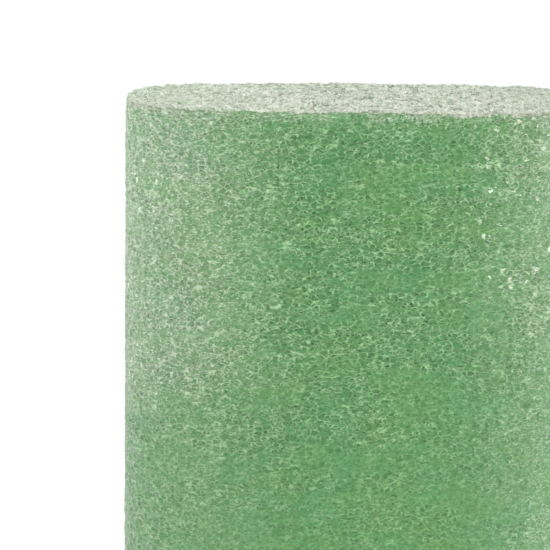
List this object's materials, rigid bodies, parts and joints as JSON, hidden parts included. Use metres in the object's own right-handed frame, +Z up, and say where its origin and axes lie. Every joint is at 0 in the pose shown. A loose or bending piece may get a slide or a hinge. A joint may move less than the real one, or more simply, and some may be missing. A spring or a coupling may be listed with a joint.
{
  "type": "floral foam brick",
  "caption": "Upright block of coarse closed-cell floral foam with generously rounded vertical edges, gently bowed broad faces and flat cut ends.",
  "frame": {"origin": "centre of the bottom end, on the surface the brick stands on", "axes": "+Z up along the brick's length, X across the two broad faces, Y through the thickness"},
  "size_m": [0.11, 0.08, 0.23],
  "materials": {
    "foam": "matte"
  },
  "bodies": {
    "root": {"foam_brick": "foam"}
  },
  "joints": []
}
